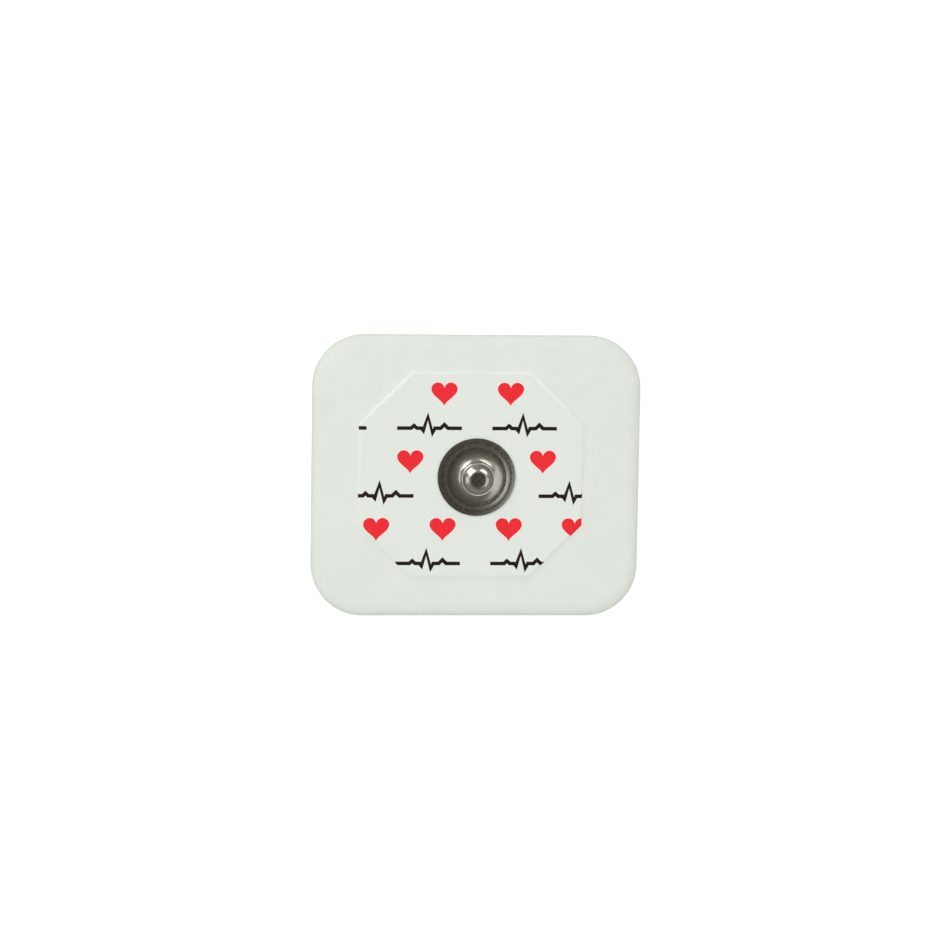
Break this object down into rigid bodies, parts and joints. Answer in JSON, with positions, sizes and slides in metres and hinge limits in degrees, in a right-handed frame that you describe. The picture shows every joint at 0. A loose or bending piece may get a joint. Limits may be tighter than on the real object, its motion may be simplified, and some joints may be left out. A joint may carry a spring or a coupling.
{
  "type": "snap electrode",
  "caption": "Disposable foam monitoring electrode with an octagonal film label, a metal snap stud in its middle and a conductive gel pad underneath.",
  "frame": {"origin": "on the stud's axis, in the sticky face that meets the skin", "axes": "+Z points out of the stud's head, +X runs along the pad's longer side"},
  "size_m": [0.04, 0.0344, 0.005],
  "materials": {
    "foam": "off-white closed-cell polyethylene foam, matt",
    "film": "off-white polyethylene film, satin, printed in dark brown and red",
    "stud_metal": "drawn and plated sheet, bright satin",
    "sensor_coating": "moulded eyelet with a dull grey silver and silver chloride coating",
    "gel": "clear wet-looking solid hydrogel"
  },
  "bodies": {
    "root": {"foam_backing": "foam", "film_label": "film", "snap_stud": "stud_metal", "sensor_eyelet": "sensor_coating", "gel_pad": "gel"}
  },
  "joints": []
}
